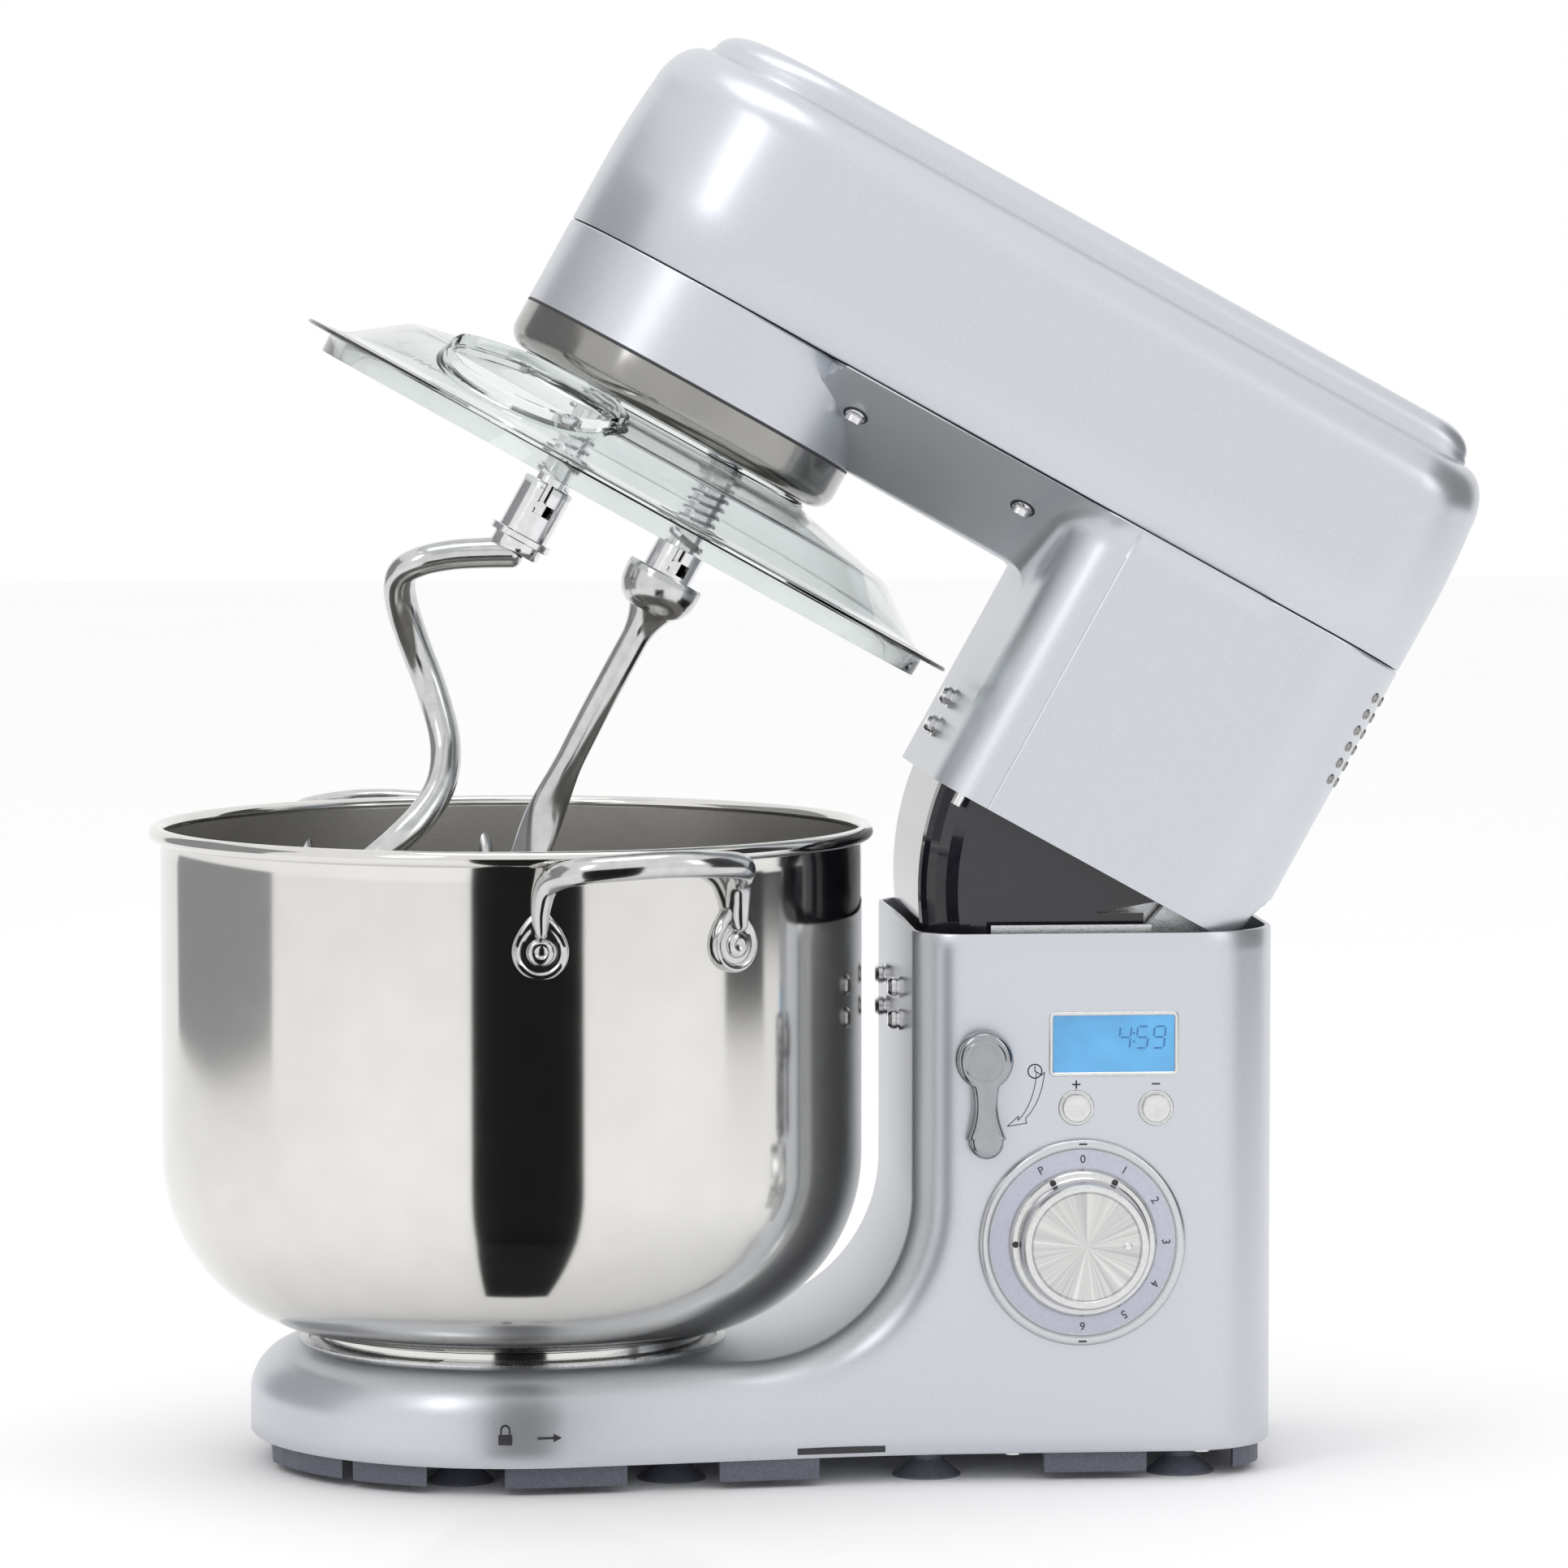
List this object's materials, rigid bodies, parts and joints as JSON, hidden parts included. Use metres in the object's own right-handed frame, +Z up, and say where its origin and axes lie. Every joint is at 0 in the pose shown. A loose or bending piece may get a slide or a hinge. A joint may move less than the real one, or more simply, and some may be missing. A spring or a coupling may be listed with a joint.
{
  "type": "stand mixer",
  "caption": "Tilt-head stand mixer with a planetary drive, two dough hooks, clear splash lid, lift-out steel bowl and side controls, shown with its head raised.",
  "frame": {"origin": "centre of the bounding box in plan, on the table plane under the suction feet", "axes": "+Z up, controls on the -Y side, bowl towards -X, column towards +X; head raised as in the rest pose"},
  "size_m": [0.507, 0.3306, 0.5456],
  "materials": {
    "base_housing": "satin silver",
    "bottom_plate": "matte",
    "base_screws": "zinc",
    "underside_pads": "matte",
    "suction_feet": "matte",
    "bowl_seat": "satin",
    "hinge_bracket": "zinc",
    "hinge_pin": "ground",
    "neck_shield": "gloss",
    "rim_strip": "satin",
    "column_studs": "polished",
    "lcd_window": "clear",
    "display_board": "coated",
    "dial_bezel": "satin",
    "speed_encoder": "matte",
    "power_board": "coated",
    "cord_inlet": "matte",
    "speed_knob": "radially brushed",
    "dial_ring": "satin",
    "plus_button": "satin",
    "minus_button": "satin",
    "release_lever": "polished",
    "lever_cam": "zinc",
    "latch_bolt": "ground",
    "head_top_shell": "satin silver",
    "top_cover": "satin silver",
    "head_lower_shell": "satin silver",
    "chrome_ring": "dark polished",
    "gearbox_frame": "cast",
    "ring_gear": "oiled",
    "chassis_plate": "cast",
    "motor_housing": "coated",
    "head_bracket": "zinc",
    "neck_screws": "bright",
    "head_studs": "polished",
    "guide_pins": "bright",
    "splash_lid": "clear",
    "drive_belt": "matte",
    "motor_rotor": "laminated",
    "cooling_fan": "matte",
    "belt_pulley": "matte",
    "pinion_shaft": "ground",
    "planet_carrier": "machined",
    "main_gear": "nylon",
    "main_shaft": "ground",
    "spindle_a": "ground",
    "planet_gear_a": "oiled",
    "spindle_spring_a": "bright",
    "dough_hook_a": "polished cast",
    "spindle_b": "ground",
    "planet_gear_b": "oiled",
    "spindle_spring_b": "bright",
    "dough_hook_b": "polished cast",
    "mixing_bowl": "mirror polished",
    "bowl_foot": "polished",
    "bowl_handles": "polished",
    "handle_rivets": "polished"
  },
  "bodies": {
    "base": {"base_housing": "base_housing", "bottom_plate": "bottom_plate", "base_screws": "base_screws", "underside_pads": "underside_pads", "suction_feet": "suction_feet", "bowl_seat": "bowl_seat", "hinge_bracket": "hinge_bracket", "hinge_pin": "hinge_pin", "neck_shield": "neck_shield", "rim_strip": "rim_strip", "column_studs": "column_studs", "lcd_window": "lcd_window", "display_board": "display_board", "dial_bezel": "dial_bezel", "speed_encoder": "speed_encoder", "power_board": "power_board", "cord_inlet": "cord_inlet"},
    "head": {"head_top_shell": "head_top_shell", "top_cover": "top_cover", "head_lower_shell": "head_lower_shell", "chrome_ring": "chrome_ring", "gearbox_frame": "gearbox_frame", "ring_gear": "ring_gear", "chassis_plate": "chassis_plate", "motor_housing": "motor_housing", "head_bracket": "head_bracket", "neck_screws": "neck_screws", "head_studs": "head_studs", "guide_pins": "guide_pins", "splash_lid": "splash_lid", "drive_belt": "drive_belt"},
    "dial": {"speed_knob": "speed_knob", "dial_ring": "dial_ring"},
    "plus": {"plus_button": "plus_button"},
    "minus": {"minus_button": "minus_button"},
    "lever": {"release_lever": "release_lever", "lever_cam": "lever_cam"},
    "latch": {"latch_bolt": "latch_bolt"},
    "motor": {"motor_rotor": "motor_rotor", "cooling_fan": "cooling_fan"},
    "intermediate": {"belt_pulley": "belt_pulley", "pinion_shaft": "pinion_shaft"},
    "planet": {"planet_carrier": "planet_carrier", "main_gear": "main_gear", "main_shaft": "main_shaft"},
    "tool_a": {"spindle_a": "spindle_a", "planet_gear_a": "planet_gear_a", "spindle_spring_a": "spindle_spring_a", "dough_hook_a": "dough_hook_a"},
    "tool_b": {"spindle_b": "spindle_b", "planet_gear_b": "planet_gear_b", "spindle_spring_b": "spindle_spring_b", "dough_hook_b": "dough_hook_b"},
    "bowl": {"mixing_bowl": "mixing_bowl", "bowl_foot": "bowl_foot", "bowl_handles": "bowl_handles", "handle_rivets": "handle_rivets"}
  },
  "joints": [
    {"name": "head_tilt", "type": "hinge", "parent": "base", "child": "head", "pos_m": [0.14746, 0, 0.222], "axis": [0, 1, 0], "range_deg": [-29, 0]},
    {"name": "planet_spin", "type": "hinge", "parent": "head", "child": "planet", "pos_m": [-0.04872, 0, 0.40849], "axis": [0.4848, 0, 0.8746], "continuous": true},
    {"name": "tool_a_spin", "type": "hinge", "parent": "planet", "child": "tool_a", "pos_m": [-0.07321, 0, 0.42207], "axis": [0.4848, 0, 0.8746], "continuous": true},
    {"name": "tool_b_spin", "type": "hinge", "parent": "planet", "child": "tool_b", "pos_m": [-0.02423, 0, 0.39492], "axis": [0.4848, 0, 0.8746], "continuous": true},
    {"name": "intermediate_spin", "type": "hinge", "parent": "head", "child": "intermediate", "pos_m": [0.01305, 0, 0.40855], "axis": [0.4848, 0, 0.8746], "continuous": true},
    {"name": "motor_spin", "type": "hinge", "parent": "head", "child": "motor", "pos_m": [0.13845, 0, 0.30474], "axis": [0.4848, 0, 0.8746], "continuous": true},
    {"name": "bowl_twist", "type": "hinge", "parent": "base", "child": "bowl", "pos_m": [-0.11454, 0, 0.046], "axis": [0, 0, 1], "range_deg": [-25, 0]},
    {"name": "dial_turn", "type": "hinge", "parent": "base", "child": "dial", "pos_m": [0.09606, -0.09, 0.0913], "axis": [0, -1, 0], "range_deg": [-30, 180]},
    {"name": "plus_press", "type": "slide", "parent": "base", "child": "plus", "axis": [0, 1, 0], "range_m": [0, 0.0015], "stiffness_N_per_m": 300},
    {"name": "minus_press", "type": "slide", "parent": "base", "child": "minus", "axis": [0, 1, 0], "range_m": [0, 0.0015], "stiffness_N_per_m": 300},
    {"name": "release_lever_turn", "type": "hinge", "parent": "base", "child": "lever", "pos_m": [0.05806, -0.09, 0.1612], "axis": [0, 1, 0], "range_deg": [0, 40]},
    {"name": "latch_slide", "type": "slide", "parent": "base", "child": "latch", "axis": [0, 1, 0], "range_m": [0, 0.006]}
  ],
  "couplings": [
    {"joint": "tool_a_spin", "follows": "planet_spin", "ratio": -3},
    {"joint": "tool_b_spin", "follows": "planet_spin", "ratio": -3},
    {"joint": "intermediate_spin", "follows": "planet_spin", "ratio": -5},
    {"joint": "motor_spin", "follows": "planet_spin", "ratio": -23.333},
    {"joint": "latch_slide", "follows": "release_lever_turn", "m_per_rad": 0.0085935}
  ]
}
